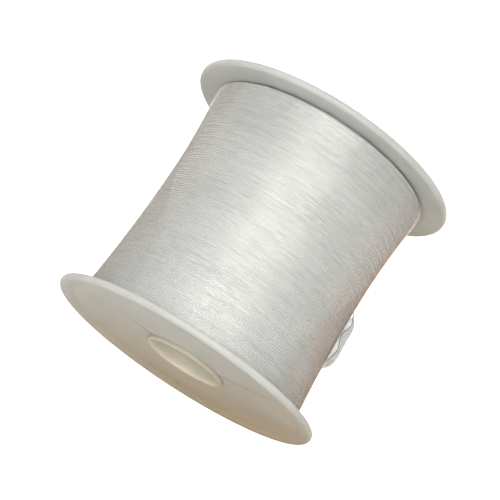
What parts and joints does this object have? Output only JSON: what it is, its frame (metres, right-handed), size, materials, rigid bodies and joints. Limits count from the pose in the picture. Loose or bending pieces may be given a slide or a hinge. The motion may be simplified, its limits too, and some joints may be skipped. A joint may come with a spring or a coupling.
{
  "type": "fishing line spool",
  "caption": "Upright plastic spool with two flat flanges on a through-bored tube, wound nearly full with clear monofilament whose end is held by a strip of clear tape.",
  "frame": {"origin": "centre of the flange face that the spool stands on, on the spool's axis", "axes": "+Z along the spool's axis, upwards from the flange that it stands on; the lifted end of the tape is on the -X side"},
  "size_m": [0.06, 0.06, 0.055],
  "materials": {
    "natural_plastic": "natural translucent polypropylene, satin moulded surface",
    "clear_line": "clear drawn nylon monofilament, glossy",
    "clear_tape": "clear adhesive tape, glossy film"
  },
  "bodies": {
    "root": {"core_tube": "natural_plastic", "bottom_flange": "natural_plastic", "top_flange": "natural_plastic", "line_pack": "clear_line", "line_outer_layer": "clear_line", "end_tape": "clear_tape"}
  },
  "joints": []
}
